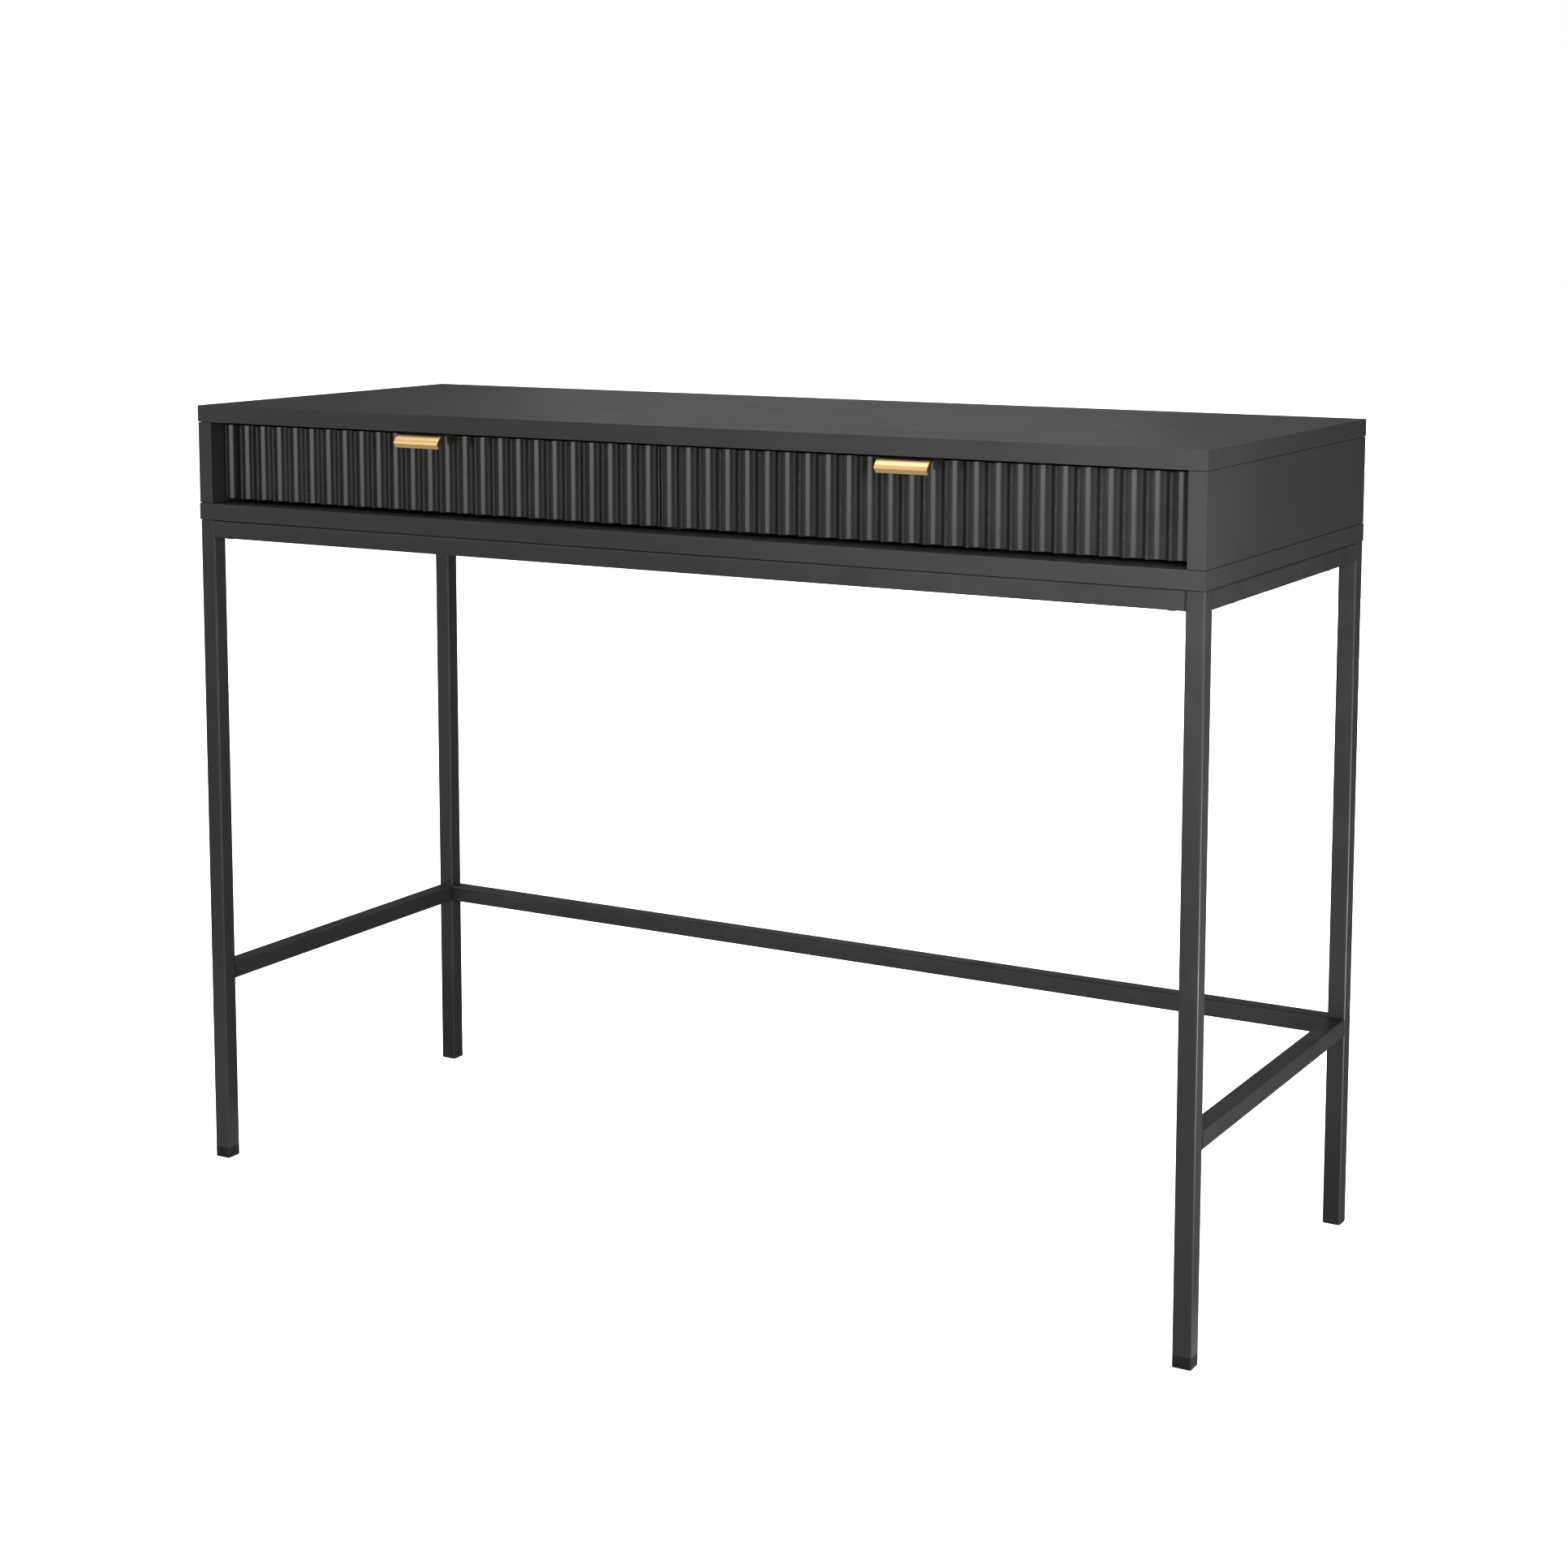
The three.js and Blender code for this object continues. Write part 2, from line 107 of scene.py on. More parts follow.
SAME_PLACE = 0.001 * MM  # points closer than this are one point

# The pull's profile, measured from the slabs' front edge and from its own flat top
PULL_STRIP = 1.4 * MM
PULL_DROP = 8.8 * MM
PULL_REACH = 7 * MM
PULL_OUTER_BEND = 12.8 * MM
PULL_INNER_BEND = 7.9 * MM
PULL_INNER_BEHIND = 7.3 * MM
PULL_INNER_END = math.radians(170)
PULL_LIP_END = (-4.2 * MM, 12.6 * MM)  # lip's lowest edge: in Y from the slabs' edge, down from the top
PULL_CORNER = 1.2 * MM
PULL_ROUND = 0.3 * MM

# ---- Camera and stage ----
CAMERA_PLACE = Vector((1.3008, -2.2415, 0.9400))
CAMERA_YAW = math.radians(30.11)
CAMERA_PITCH = math.radians(6.79)
CAMERA_LENS = 63.42
SENSOR_WIDTH = 36.0
CAMERA_SHIFT = (0.0147, -0.154)
FLOOR_SIZE = 60.0
FLOOR_GLOW = 0.9
FLOOR_GAP = 0.2 * MM
FLOOR_COLOUR = (0.93, 0.93, 0.93)
FLOOR_LIGHT_STRENGTH = 3.3
FLOOR_LIGHT_ANGLE = math.radians(70)
FLOOR_LIGHT_TILT = (math.radians(12), math.radians(-10), 0.0)


def make_camera():
    data = bpy.data.cameras.new("camera")
    data.sensor_width = SENSOR_WIDTH
    data.lens = CAMERA_LENS
    data.shift_x, data.shift_y = CAMERA_SHIFT
    camera = bpy.data.objects.new("camera", data)
    camera.location = CAMERA_PLACE
    camera.rotation_euler = Euler((math.pi / 2 - CAMERA_PITCH, 0.0, CAMERA_YAW))
    bpy.context.scene.collection.objects.link(camera)
    bpy.context.scene.camera = camera


def make_floor():
    bm = bmesh.new()
    bmesh.ops.create_grid(bm, x_segments=4, y_segments=4, size=FLOOR_SIZE / 2)
    mesh = bpy.data.meshes.new("floor")
    bm.to_mesh(mesh)
    bm.free()
    floor = bpy.data.objects.new("floor", mesh)
    floor.location.z = cad_low.z - FLOOR_GAP
    bpy.context.scene.collection.objects.link(floor)
    floor.visible_glossy = False
    floor.visible_diffuse = False
    material = bpy.data.materials.new("pale_floor")
    material.use_nodes = True
    shader = material.node_tree.nodes["Principled BSDF"]
    shader.inputs["Base Color"].default_value = (*FLOOR_COLOUR, 1)
    shader.inputs["Roughness"].default_value = 0.9
    shader.inputs["Specular IOR Level"].default_value = 0.0
    shader.inputs["Emission Color"].default_value = (1, 1, 1, 1)
    shader.inputs["Emission Strength"].default_value = FLOOR_GLOW
    mesh.materials.append(material)
    return floor


# name, place, point that it faces, width, height, radiance, kind of reflection that shows it
SOFTBOXES = (
    ("front_box", (1.85, -5.7, 1.0), (0.0, 0.0, 0.6), 4.2, 2.0, 3.8, "both"),
    ("front_left_box", (-2.6, -2.1, 0.65), (0.0, 0.0, 0.6), 2.2, 1.1, 0.6, "both"),
    ("near_right_box", (0.92, -0.78, 0.84), (0.34, -0.18, 0.72), 0.35, 0.35, 10.5, "diffuse"),
    ("low_right_box", (1.3, 0.05, 0.12), (0.5, 0.05, 0.2), 0.5, 0.24, 26.0, "both"),
    ("left_box", (-1.9, -0.4, 0.8), (-0.3, -0.1, 0.65), 0.9, 1.0, 2.0, "both"),
    ("high_left_box", (-1.7, -2.2, 2.3), (0.0, 0.0, 0.7), 1.8, 1.3, 1.8, "both"),
    ("back_box", (-1.75, 3.4, 1.2), (0.0, 0.0, 0.6), 1.5, 0.8, 0.22, "both"),
    ("high_back_box", (-1.0, 3.4, 2.6), (0.0, 0.0, 0.6), 3.4, 1.2, 0.42, "both"),
    ("rear_fill_box", (0.0, 4.2, 1.0), (0.0, 0.0, 0.5), 3.0, 2.0, 6.0, "diffuse"),
    ("low_front_box", (0.3, -2.4, 0.06), (0.0, 0.0, 0.5), 3.0, 0.5, 0.8, "both"),
    ("floor_bounce_box", (0.0, -0.7, 0.01), (0.0, -0.7, 1.0), 2.4, 1.2, 0.5, "glossy"),
    ("overhead_box", (-0.45, -0.7, 3.0), (-0.2, 0.0, 0.6), 3.0, 1.6, 2.5, "both"),
)
SPREAD = {"near_right_box": math.radians(80)}  # the others shine over a whole half-turn
WORLD_DIM = 0.13


def make_softbox(name, place, target, width, height, radiance, kind):
    data = bpy.data.lights.new(name, "AREA")
    data.shape = "RECTANGLE"
    data.size = width
    data.size_y = height
    data.energy = radiance * width * height * math.pi
    data.spread = SPREAD.get(name, math.pi)
    lamp = bpy.data.objects.new(name, data)
    lamp.location = place
    aim = Vector(target) - Vector(place)
    lamp.rotation_euler = aim.to_track_quat("-Z", "Y").to_euler()
    lamp.visible_camera = False
    lamp.visible_glossy = kind != "diffuse"
    lamp.visible_diffuse = kind != "glossy"
    bpy.context.scene.collection.objects.link(lamp)


def make_floor_light(floor):
    """A soft sun that lights only the floor, so that it stays evenly pale under a dark desk."""
    data = bpy.data.lights.new("floor_light", "SUN")
    data.energy = FLOOR_LIGHT_STRENGTH
    data.angle = FLOOR_LIGHT_ANGLE
    lamp = bpy.data.objects.new("floor_light", data)
    lamp.rotation_euler = Euler(FLOOR_LIGHT_TILT)
    bpy.context.scene.collection.objects.link(lamp)
    lit = bpy.data.collections.new("lit_by_floor_light")
    lit.objects.link(floor)
    lamp.light_linking.receiver_collection = lit


def make_world():
    world = bpy.data.worlds.new("studio")
    bpy.context.scene.world = world
    world.use_nodes = True
    nodes, links = world.node_tree.nodes, world.node_tree.links
    nodes.clear()
    output = nodes.new("ShaderNodeOutputWorld")
    mix = nodes.new("ShaderNodeMixShader")
    path = nodes.new("ShaderNodeLightPath")
    seen = nodes.new("ShaderNodeBackground")
    seen.inputs["Color"].default_value = (1, 1, 1, 1)
    dim = nodes.new("ShaderNodeBackground")
    dim.inputs["Strength"].default_value = WORLD_DIM
    links.new(path.outputs["Is Camera Ray"], mix.inputs["Fac"])
    links.new(dim.outputs[0], mix.inputs[1])
    links.new(seen.outputs[0], mix.inputs[2])
    links.new(mix.outputs[0], output.inputs["Surface"])


# ---- Materials ----
# In each group below, the third colour is a painted highlight for rounded edges, flute crests and pull
# corners.
LAMINATE_DARK = (0.0185, 0.0185, 0.0190)
LAMINATE_LIGHT = (0.0245, 0.0245, 0.0250)
LAMINATE_EDGE_HIGHLIGHT = (0.050, 0.050, 0.051)
LAMINATE_ROUGHNESS = (0.37, 0.405)
LACQUER_DARK = (0.0105, 0.0105, 0.0108)
LACQUER_LIGHT = (0.0135, 0.0135, 0.0139)
LACQUER_EDGE_HIGHLIGHT = (0.022, 0.022, 0.0225)
LACQUER_ROUGHNESS = (0.19, 0.205)
POWDER_DARK = (0.0165, 0.0165, 0.0170)
POWDER_LIGHT = (0.0225, 0.0225, 0.0230)
POWDER_EDGE_HIGHLIGHT = (0.042, 0.042, 0.043)
POWDER_ROUGHNESS = (0.38, 0.45)
BRASS_DARK = (0.68, 0.44, 0.19)
BRASS_LIGHT = (0.80, 0.56, 0.28)
BRASS_EDGE_HIGHLIGHT = (0.93, 0.74, 0.46)
BRASS_ROUGHNESS = (0.30, 0.42)
BOX_DARK = (0.030, 0.030, 0.031)
BOX_LIGHT = (0.040, 0.040, 0.041)
BOX_EDGE_HIGHLIGHT = (0.075, 0.073, 0.070)
BOX_ROUGHNESS = (0.62, 0.72)
ZINC_DARK = (0.47, 0.48, 0.50)
ZINC_LIGHT = (0.60, 0.61, 0.62)
ZINC_EDGE_HIGHLIGHT = (0.74, 0.74, 0.73)
SLIDE_ROUGHNESS = (0.28, 0.42)
SCREW_ROUGHNESS = (0.22, 0.36)
PLASTIC_DARK = (0.010, 0.010, 0.010)
PLASTIC_LIGHT = (0.018, 0.018, 0.018)
PLASTIC_EDGE_HIGHLIGHT = (0.045, 0.045, 0.045)
PLASTIC_ROUGHNESS = (0.52, 0.68)

# The Mix node's colour sockets, which share their names with its other sockets
MIX_FIRST, MIX_SECOND, MIX_RESULT = 6, 7, 2


class Look:
    """A Principled material with short calls for the procedural nodes that feed it."""

    def __init__(self, name):
        self.material = bpy.data.materials.new(name)
        self.material.use_nodes = True
        self.nodes = self.material.node_tree.nodes
        self.links = self.material.node_tree.links
        self.shader = self.nodes["Principled BSDF"]
        self.place = self.nodes.new("ShaderNodeTexCoord").outputs["Object"]

    def set(self, **values):
        for name, value in values.items():
            self.shader.inputs[name.replace("_", " ")].default_value = value
        return self

    def feed(self, socket, source):
        self.links.new(source, self.shader.inputs[socket])

    def stretched(self, scale):
        node = self.nodes.new("ShaderNodeMapping")
        node.inputs["Scale"].default_value = scale
        self.links.new(self.place, node.inputs["Vector"])
        return node.outputs["Vector"]

    def noise(self, scale, detail=3.0, roughness=0.55, place=None, distortion=0.0):
        node = self.nodes.new("ShaderNodeTexNoise")
        node.inputs["Scale"].default_value = scale
        node.inputs["Detail"].default_value = detail
        node.inputs["Roughness"].default_value = roughness
        node.inputs["Distortion"].default_value = distortion
        self.links.new(place or self.place, node.inputs["Vector"])
        return node.outputs["Fac"]

    def cells(self, scale):
        node = self.nodes.new("ShaderNodeTexVoronoi")
        node.inputs["Scale"].default_value = scale
        self.links.new(self.place, node.inputs["Vector"])
        return node.outputs["Distance"]

    def remap(self, source, low, high, to_low, to_high):
        node = self.nodes.new("ShaderNodeMapRange")
        node.inputs["From Min"].default_value = low
        node.inputs["From Max"].default_value = high
        node.inputs["To Min"].default_value = to_low
        node.inputs["To Max"].default_value = to_high
        self.links.new(source, node.inputs["Value"])
        return node.outputs["Result"]

    def blend(self, factor, first, second):
        node = self.nodes.new("ShaderNodeMix")
        node.data_type = "RGBA"
        self.links.new(factor, node.inputs["Factor"])
        for socket, value in ((node.inputs[MIX_FIRST], first), (node.inputs[MIX_SECOND], second)):
            if isinstance(value, tuple):
                socket.default_value = (*value, 1)
            else:
                self.links.new(value, socket)
        return node.outputs[MIX_RESULT]

    def combine(self, first, second, operation="ADD"):
        node = self.nodes.new("ShaderNodeMath")
        node.operation = operation
        for socket, value in ((node.inputs[0], first), (node.inputs[1], second)):
            if isinstance(value, (int, float)):
                socket.default_value = value
            else:
                self.links.new(value, socket)
        return node.outputs[0]

    def painted_edge_highlight(self, colour, highlight_colour):
        """Colour lightened in patches: a painted highlight, as along a rounded edge."""
        highlight_patches = self.remap(self.noise(38.0, detail=6.0, roughness=0.7), 0.48, 0.74, 0.0, 0.8)
        return self.blend(highlight_patches, colour, highlight_colour)

    def bump(self, height, distance, strength):
        node = self.nodes.new("ShaderNodeBump")
        node.inputs["Distance"].default_value = distance
        node.inputs["Strength"].default_value = strength
        self.links.new(height, node.inputs["Height"])
        self.feed("Normal", node.outputs["Normal"])
        return self


def laminate(name, edge_highlight):
    """Black satin melamine: a fine pearl texture, faint cloudiness and handling marks in the sheen."""
    look = Look(name)
    cloud = look.remap(look.noise(5.0, detail=4.0), 0.35, 0.65, 0.0, 1.0)
    speck = look.remap(look.noise(650.0, detail=2.0), 0.4, 0.6, 0.0, 1.0)
    tone = look.combine(look.combine(cloud, 0.7, "MULTIPLY"), look.combine(speck, 0.3, "MULTIPLY"))
    colour = look.blend(tone, LAMINATE_DARK, LAMINATE_LIGHT)
    if edge_highlight:
        colour = look.painted_edge_highlight(colour, LAMINATE_EDGE_HIGHLIGHT)
    look.feed("Base Color", colour)
    smear_place = look.stretched((1.0, 2.6, 1.4))
    smear = look.noise(9.0, detail=5.0, roughness=0.62, place=smear_place, distortion=0.6)
    low, high = LAMINATE_ROUGHNESS
    look.feed("Roughness", look.remap(smear, 0.3, 0.7, low, high))
    grain = look.combine(look.noise(1300.0, detail=2.0), look.cells(700.0))
    return look.bump(grain, 0.000015, 0.5).material


def front_lacquer(name, edge_highlight):
    """Satin lacquer over moulded fibreboard: fine orange peel, polished in lines along the flutes."""
    look = Look(name)
    cloud = look.remap(look.noise(14.0, detail=4.0), 0.35, 0.65, 0.0, 1.0)
    colour = look.blend(cloud, LACQUER_DARK, LACQUER_LIGHT)
    if edge_highlight:
        colour = look.painted_edge_highlight(colour, LACQUER_EDGE_HIGHLIGHT)
    look.feed("Base Color", colour)
    lines = look.noise(1.0, detail=2.0, place=look.stretched((900.0, 900.0, 40.0)))
    low, high = LACQUER_ROUGHNESS
    look.feed("Roughness", look.remap(lines, 0.3, 0.7, low, high))
    return look.bump(look.noise(420.0, detail=2.0), 0.000004, 0.5).material


def powder_coat(name, edge_highlight):
    """Black powder coat: fine orange peel in the coat and small glossier patches."""
    look = Look(name)
    patch = look.remap(look.noise(22.0, detail=4.0), 0.38, 0.64, 0.0, 1.0)
    colour = look.blend(patch, POWDER_DARK, POWDER_LIGHT)
    if edge_highlight:
        colour = look.painted_edge_highlight(colour, POWDER_EDGE_HIGHLIGHT)
    look.feed("Base Color", colour)
    low, high = POWDER_ROUGHNESS
    look.feed("Roughness", look.remap(patch, 0.0, 1.0, high, low))
    peel = look.combine(look.noise(780.0, detail=3.0), look.cells(520.0))
    return look.bump(peel, 0.00003, 0.55).material


def box_board(name, edge_highlight):
    """Matte melamine of the drawer boxes, with a faint linen texture."""
    look = Look(name)
    warp = look.noise(1.0, detail=1.0, place=look.stretched((1500.0, 60.0, 1500.0)))
    weft = look.noise(1.0, detail=1.0, place=look.stretched((60.0, 1500.0, 60.0)))
    linen = look.combine(warp, weft)
    cloud = look.remap(look.noise(7.0, detail=3.0), 0.35, 0.65, 0.0, 1.0)
    colour = look.blend(cloud, BOX_DARK, BOX_LIGHT)
    if edge_highlight:
        colour = look.painted_edge_highlight(colour, BOX_EDGE_HIGHLIGHT)
    look.feed("Base Color", colour)
    low, high = BOX_ROUGHNESS
    look.feed("Roughness", look.remap(linen, 0.7, 1.3, low, high))
    return look.bump(linen, 0.00003, 0.5).material


def brushed_brass(name, edge_highlight):
    """Satin brass, brushed along the pull, with a warmer tint where the brushing is denser."""
    look = Look(name).set(Metallic=1.0)
    brush = look.noise(1.0, detail=4.0, roughness=0.7, place=look.stretched((35.0, 2600.0, 2600.0)))
    tint = look.remap(brush, 0.35, 0.65, 0.0, 1.0)
    colour = look.blend(tint, BRASS_DARK, BRASS_LIGHT)
    if edge_highlight:
        colour = look.painted_edge_highlight(colour, BRASS_EDGE_HIGHLIGHT)
    look.feed("Base Color", colour)
    low, high = BRASS_ROUGHNESS
    look.feed("Roughness", look.remap(brush, 0.3, 0.7, low, high))
    return look.bump(brush, 0.000012, 0.6).material


def zinc_steel(name, edge_highlight, roughness):
    """Zinc-plated steel: rolling lines along the strip and a cloudy, slightly blue plate."""
    look = Look(name).set(Metallic=1.0)
    rolled = look.noise(1.0, detail=3.0, place=look.stretched((1800.0, 16.0, 1800.0)))
    cloud = look.remap(look.noise(60.0, detail=5.0), 0.35, 0.65, 0.0, 1.0)
    colour = look.blend(cloud, ZINC_DARK, ZINC_LIGHT)
    if edge_highlight:
        colour = look.painted_edge_highlight(colour, ZINC_EDGE_HIGHLIGHT)
    look.feed("Base Color", colour)
    low, high = roughness
    look.feed("Roughness", look.remap(rolled, 0.3, 0.7, low, high))
    return look.bump(rolled, 0.00001, 0.5).material


def slide_zinc(name, edge_highlight):
    return zinc_steel(name, edge_highlight, SLIDE_ROUGHNESS)


def screw_zinc(name, edge_highlight):
    return zinc_steel(name, edge_highlight, SCREW_ROUGHNESS)


def cap_plastic(name, edge_highlight):
    """Moulded polyethylene of the foot caps, with an eroded mould texture and scuffed edges."""
    look = Look(name)
    spark = look.noise(1500.0, detail=3.0)
    colour = look.blend(spark, PLASTIC_DARK, PLASTIC_LIGHT)
    if edge_highlight:
        colour = look.painted_edge_highlight(colour, PLASTIC_EDGE_HIGHLIGHT)
    look.feed("Base Color", colour)
    low, high = PLASTIC_ROUGHNESS
    look.feed("Roughness", look.remap(spark, 0.3, 0.7, low, high))
    return look.bump(spark, 0.00003, 0.6).material


def finishes(builder, name):
    """The finish on flat faces, and the same finish on rounded edges with patches of painted highlight.
    """
    return builder(name, False), builder(name + "_edge", True)


MATERIALS = {
    "laminate": finishes(laminate, "laminate"),
    "front_lacquer": finishes(front_lacquer, "front_lacquer"),
    "powder_coat": finishes(powder_coat, "powder_coat"),
    "box_board": finishes(box_board, "box_board"),
    "brass_pull": finishes(brushed_brass, "brushed_brass"),
    "slide_steel": finishes(slide_zinc, "slide_steel"),
    "zinc_steel": finishes(screw_zinc, "zinc_steel"),
    "cap_plastic": finishes(cap_plastic, "cap_plastic"),
}


# ---- Making pieces ----
def finish_piece(bm, name, slot, node):
    """Turns a bmesh into a smooth-shaded piece that stands for one CAD node and rides its body."""
    bmesh.ops.recalc_face_normals(bm, faces=bm.faces)
    mesh = bpy.data.meshes.new(name)
    bm.to_mesh(mesh)
    bm.free()
    for material in MATERIALS[slot]:
        mesh.materials.append(material)
    mesh.shade_smooth()
    mesh.set_sharp_from_angle(angle=SMOOTH_BELOW)
    piece = bpy.data.objects.new(name, mesh)
    bpy.context.scene.collection.objects.link(piece)
    weighted = piece.modifiers.new("weighted_normals", "WEIGHTED_NORMAL")
    weighted.keep_sharp = True
    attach(piece, frame["nodes"][node]["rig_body"])
    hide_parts(node)


def round_edges(bm, radius, segments=3, above=math.radians(40)):
    """Rounds every edge that is sharper than the angle, and gives the rounding the edge finish with its
    painted highlight.
    """
    edges = [e for e in bm.edges if e.is_manifold and e.calc_face_angle(0.0) > above]
    bmesh.ops.bevel(
        bm, geom=edges, offset=radius, offset_type="OFFSET", segments=segments,
        profile=0.5, affect="EDGES", clamp_overlap=True, material=1,
    )


def extrude_outline(bm, outline, axis, low, high):
    """A closed prism. outline lists (u, v) along the two other axes, in X, Y, Z order."""
    def corner(u, v, w):
        place = [u, v]
        place.insert(axis, w)
        return bm.verts.new(place)

    first = [corner(u, v, low) for u, v in outline]
    last = [corner(u, v, high) for u, v in outline]
    bm.faces.new(first)
    bm.faces.new(list(reversed(last)))
    count = len(outline)
    for i in range(count):
        j = (i + 1) % count
        bm.faces.new((first[i], last[i], last[j], first[j]))


def box_outline(low, high):
    return [(low[0], low[1]), (high[0], low[1]), (high[0], high[1]), (low[0], high[1])]


def add_box(bm, low, high):
    extrude_outline(bm, box_outline(low[:2], high[:2]), 2, low[2], high[2])


def arc(centre, radius, start, end, steps):
    """Points along a circular arc, both ends included."""
    angles = [start + (end - start) * i / steps for i in range(steps + 1)]
    return [(centre[0] + radius * math.cos(a), centre[1] + radius * math.sin(a)) for a in angles]


def rounded_square(centre, side, radius, steps):
    reach = side / 2 - radius
    outline = []
    for quarter, (sx, sy) in enumerate(((1, -1), (1, 1), (-1, 1), (-1, -1))):
        start = (quarter - 1) * math.pi / 2
        corner = (centre[0] + sx * reach, centre[1] + sy * reach)
        outline += arc(corner, radius, start, start + math.pi / 2, steps)
    return outline


# ---- Boards ----
def board(node, slot="laminate", radius=BOARD_ROUND):
    low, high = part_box(node)
    bm = bmesh.new()
    add_box(bm, low, high)
    round_edges(bm, radius)
    finish_piece(bm, node + "_looks", slot, node)


# ---- Square tubes ----
def add_tube(bm, centre, axis, low, high):
    """A hollow square tube with rounded corners and open ends along one axis."""
    rings = []
    for inset in (0.0, TUBE_WALL):
        outline = rounded_square(centre, TUBE_SIDE - 2 * inset, TUBE_CORNER - inset, TUBE_CORNER_STEPS)
        for w in (low, high):
            ring = []
            for u, v in outline:
                place = [u, v]
                place.insert(axis, w)
                ring.append(bm.verts.new(place))
            rings.append(ring)
    outer_low, outer_high, inner_low, inner_high = rings
    count = len(outer_low)
    walls = (
        (outer_low, outer_high),
        (inner_high, inner_low),
        (inner_low, outer_low),
        (outer_high, inner_high),
    )
    for a, b in walls:
        for i in range(count):
            j = (i + 1) % count
            bm.faces.new((a[i], b[i], b[j], a[j]))


def middle(low, high):
    return (low + high) / 2


def tube(node, axis):
    low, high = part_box(node)
    centre = [c for i, c in enumerate(middle(low, high)) if i != axis]
    bm = bmesh.new()
    add_tube(bm, centre, axis, low[axis], high[axis])
    finish_piece(bm, node + "_looks", "powder_coat", node)


def leg(end, side, crossbars):
    """A leg tube with the blocks that its crossbars slide over."""
    node = f"{end}_{side}_leg"
    low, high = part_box(node)
    cap = middle(*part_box(f"{end}_{side}_foot_cap"))
    bm = bmesh.new()
    add_tube(bm, (cap.x, cap.y), 2, low.z, high.z)
    half = SPIGOT_SIDE / 2
    inward = 1 if side == "left" else -1
    face = cap.x + inward * TUBE_SIDE / 2
    tip = high.x if side == "left" else low.x
    for bar in crossbars:
        z = middle(*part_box(bar)).z
        near, far = sorted((face, tip))
        add_box(bm, (near, cap.y - half, z - half), (far, cap.y + half, z + half))
    finish_piece(bm, node + "_looks", "powder_coat", node)


def foot_cap(end, side):
    node = f"{end}_{side}_foot_cap"
    low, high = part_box(node)
    centre = middle(low, high)
    bm = bmesh.new()
    outline = rounded_square((centre.x, centre.y), TUBE_SIDE, TUBE_CORNER, TUBE_CORNER_STEPS)
    extrude_outline(bm, outline, 2, low.z, low.z + FOOT_FLANGE)
    round_edges(bm, FOOT_ROUND)
    half = SPIGOT_SIDE / 2
    add_box(
        bm,
        (centre.x - half, centre.y - half, low.z + FOOT_FLANGE),
        (centre.x + half, centre.y + half, high.z),
    )
    finish_piece(bm, node + "_looks", "cap_plastic", node)


# ---- Fluted drawer fronts ----
def front_outline(low, high):
    """Plan of a fluted front, counter-clockwise: (x, y, whether its next side is on a crest)."""
    pitch = (high.x - low.x) / FLUTES
    half_cove = (pitch - CREST) / 2
    radius = (half_cove**2 + FLUTE_DEPTH**2) / (2 * FLUTE_DEPTH)
    sweep = math.asin(half_cove / radius)
    trim = CREST_ROUND * math.tan(sweep / 2)
    arc_sweep = sweep - trim / radius
    y_crest = low.y + CREST_ROUND
    y_cove = low.y + FLUTE_DEPTH - radius
    outline = [(low.x, high.y, False)]
    corner = arc((low.x + CREST_ROUND, y_crest), CREST_ROUND, math.pi, 1.5 * math.pi, 3)
    outline += [(u, v, True) for u, v in corner]
    for i in range(FLUTES):
        x = low.x + (i + 0.5) * pitch
        start = -math.pi / 2
        into = arc((x - half_cove - trim, y_crest), CREST_ROUND, start, start + sweep, 3)
        cove = arc((x, y_cove), radius, math.pi / 2 + arc_sweep, math.pi / 2 - arc_sweep, COVE_SIDES)
        out = arc((x + half_cove + trim, y_crest), CREST_ROUND, start - sweep, start, 3)
        outline += [(u, v, True) for u, v in into[:-1]]
        outline += [(u, v, False) for u, v in cove[:-1]]
        outline += [(cove[-1][0], cove[-1][1], True)]
        outline += [(u, v, True) for u, v in out[1:]]
    corner = arc((high.x - CREST_ROUND, y_crest), CREST_ROUND, 1.5 * math.pi, 2 * math.pi, 3)
    outline += [(u, v, True) for u, v in corner[:-1]]
    outline += [(*corner[-1], False), (high.x, high.y, False)]
    return outline


def inset_outline(points, distance):
    """A counter-clockwise closed outline moved inwards by a distance."""
    count = len(points)
    moved = []
    for i, point in enumerate(points):
        before = (point - points[i - 1]).normalized()
        after = (points[(i + 1) % count] - point).normalized()
        inward_before = Vector((-before.y, before.x))
        inward = (inward_before + Vector((-after.y, after.x))).normalized()
        moved.append(point + inward * distance / inward.dot(inward_before))
    return moved


def rounded_levels(low_z, high_z, radius, steps):
    """(height, inset) pairs of a slab whose lower and upper edges are rounded."""
    turns = [math.pi / 2 * i / steps for i in range(steps + 1)]
    lower = [(low_z + radius * (1 - math.cos(t)), radius * (1 - math.sin(t))) for t in turns]
    upper = [(low_z + high_z - z, inset) for z, inset in reversed(lower)]
    return lower + upper


def drawer_front(side):
    node = side + "_drawer_front"
    low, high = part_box(node)
    outline = front_outline(low, high)
    points = [Vector((u, v)) for u, v, _ in outline]
    bm = bmesh.new()
    levels = rounded_levels(low.z, high.z, FRONT_ROUND, 3)
    rings = []
    for z, inset in levels:
        ring = inset_outline(points, inset)
        rings.append([bm.verts.new((p.x, p.y, z)) for p in ring])
    count = len(points)
    for (below, above), (first, second) in zip(zip(levels, levels[1:]), zip(rings, rings[1:])):
        on_rounding = below[1] > 0 or above[1] > 0
        for i in range(count):
            j = (i + 1) % count
            face = bm.faces.new((first[i], first[j], second[j], second[i]))
            # Rounded edges and crests take the second material, whose painted highlight brightens them.
            face.material_index = int(on_rounding or outline[i][2])
    bm.faces.new(rings[0])
    bm.faces.new(rings[-1])
    finish_piece(bm, node + "_looks", "front_lacquer", node)


